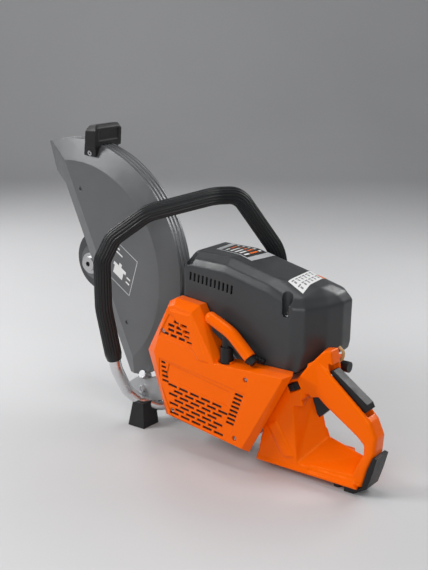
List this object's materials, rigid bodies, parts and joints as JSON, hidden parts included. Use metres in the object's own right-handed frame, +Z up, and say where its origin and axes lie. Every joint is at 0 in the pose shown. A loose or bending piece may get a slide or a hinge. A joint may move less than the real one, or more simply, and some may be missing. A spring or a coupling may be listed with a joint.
{
  "type": "hand-held concrete cut-off saw",
  "caption": "Petrol cut-off saw with a tilting blade guard, belt-driven arm, recoil starter, wrap-around front handle and loop rear handle; no blade fitted.",
  "frame": {"origin": "centre of the blade seat on the spindle", "axes": "+X towards the rear handle, +Y to the operator's right (drive belt side), +Z up with the saw standing on its feet"},
  "size_m": [0.6502, 0.2104, 0.475],
  "materials": {
    "guard_paint": "satin dark grey paint",
    "black_plastic": "matt, fine grain",
    "rubber": "matt",
    "grey_plastic": "semi-matt, fine grain",
    "orange_plastic": "glossy",
    "grey_casting": "satin dark grey paint",
    "steel": "zinc plated or ground",
    "cast_aluminium": "as cast, blasted",
    "bright_tube": "bright drawn tube",
    "dark_metal": "heat-resistant black",
    "white_plastic": "satin",
    "filter_foam": "open foam",
    "rope": "braided"
  },
  "bodies": {
    "machine": {"air_filter": "filter_foam", "arm_bolts": "steel", "arm_boss_screws": "steel", "av_mounts": "rubber", "bearings": "steel", "belt_cover": "grey_casting", "belt_cover_screws": "steel", "belt_tensioner": "steel", "carburettor": "cast_aluminium", "cover_screws": "steel", "crankcase_bolts": "steel", "crankcase_left": "cast_aluminium", "crankcase_right": "cast_aluminium", "cutting_arm": "grey_casting", "cylinder": "cast_aluminium", "drive_belt": "rubber", "filter_tray": "black_plastic", "front_bracket": "cast_aluminium", "front_feet": "rubber", "front_sleeve": "rubber", "front_tube": "bright_tube", "hand_guard": "black_plastic", "handle_bolts": "steel", "handle_lug": "cast_aluminium", "ignition_coil": "dark_metal", "intake_boot": "black_plastic", "lever_pins": "steel", "muffler": "dark_metal", "plug_cap": "rubber", "rear_feet": "rubber", "rear_handle_tank": "orange_plastic", "recoil_spring": "steel", "rope_bush": "black_plastic", "spark_plug": "steel", "starter_housing": "orange_plastic", "starter_screws": "steel", "top_cover": "grey_plastic", "vent_bellows": "black_plastic", "vent_pipe": "rubber"},
    "guard": {"guard_shell": "guard_paint", "guard_handle": "black_plastic", "guard_handle_screws": "steel"},
    "blade_spindle": {"spindle": "steel", "inner_flange": "steel", "driven_pulley": "cast_aluminium", "pulley_nut": "steel"},
    "drum": {"clutch_drum": "steel"},
    "crank": {"crankshaft": "steel", "flywheel": "cast_aluminium", "clutch_shoes": "steel"},
    "piston": {"piston": "cast_aluminium"},
    "reel": {"starter_reel": "white_plastic"},
    "pull_handle": {"grip_core": "black_plastic", "starter_grip": "orange_plastic", "starter_rope": "rope"},
    "trigger": {"throttle_trigger": "black_plastic"},
    "lockout": {"throttle_lockout": "black_plastic"},
    "stop_rocker": {"stop_switch": "black_plastic"},
    "choke": {"choke_knob": "black_plastic"},
    "filler_cap": {"fuel_cap": "black_plastic"}
  },
  "joints": [
    {"name": "guard_tilt", "type": "hinge", "parent": "machine", "child": "guard", "pos_m": [0, 0, 0], "axis": [0, 1, 0], "range_deg": [-40, 0]},
    {"name": "drum_spin", "type": "hinge", "parent": "machine", "child": "drum", "pos_m": [0.318, 0.052, -0.112], "axis": [0, 1, 0], "continuous": true},
    {"name": "spindle_spin", "type": "hinge", "parent": "machine", "child": "blade_spindle", "pos_m": [0, 0, 0], "axis": [0, 1, 0], "continuous": true},
    {"name": "crank_spin", "type": "hinge", "parent": "machine", "child": "crank", "pos_m": [0.318, -0.01, -0.112], "axis": [0, 1, 0], "continuous": true},
    {"name": "piston_stroke", "type": "slide", "parent": "machine", "child": "piston", "axis": [0.134, 0, 0.991], "range_m": [-0.036, 0]},
    {"name": "starter_pull", "type": "slide", "parent": "machine", "child": "pull_handle", "axis": [0, 0, 1], "range_m": [0, 0.7], "stiffness_N_per_m": 12, "springref_m": -0.8, "deforming": ["starter_rope"]},
    {"name": "reel_spin", "type": "hinge", "parent": "machine", "child": "reel", "pos_m": [0.318, -0.084, -0.112], "axis": [0, 1, 0], "range_deg": [-1270, 10]},
    {"name": "throttle_squeeze", "type": "hinge", "parent": "machine", "child": "trigger", "pos_m": [0.477, -0.043, -0.102], "axis": [0, 1, 0], "range_deg": [-10, 0], "stiffness_Nm_per_rad": 0.3, "springref_deg": 20.05},
    {"name": "lockout_press", "type": "hinge", "parent": "machine", "child": "lockout", "pos_m": [0.508, -0.043, -0.07], "axis": [0, 1, 0], "range_deg": [0, 5], "stiffness_Nm_per_rad": 0.3, "springref_deg": -20.05},
    {"name": "stop_switch_tilt", "type": "hinge", "parent": "machine", "child": "stop_rocker", "pos_m": [0.453, -0.0627, -0.096], "axis": [-0.4695, 0, 0.8829], "range_deg": [0, 8]},
    {"name": "choke_pull", "type": "slide", "parent": "machine", "child": "choke", "axis": [1, 0, 0], "range_m": [0, 0.012]},
    {"name": "cap_turn", "type": "hinge", "parent": "machine", "child": "filler_cap", "pos_m": [0.418, 0.04, -0.186], "axis": [0, 1, 0], "range_deg": [0, 120]}
  ],
  "couplings": [
    {"joint": "spindle_spin", "follows": "drum_spin", "ratio": 0.62222},
    {"joint": "reel_spin", "follows": "starter_pull", "rad_per_m": -31.25}
  ]
}
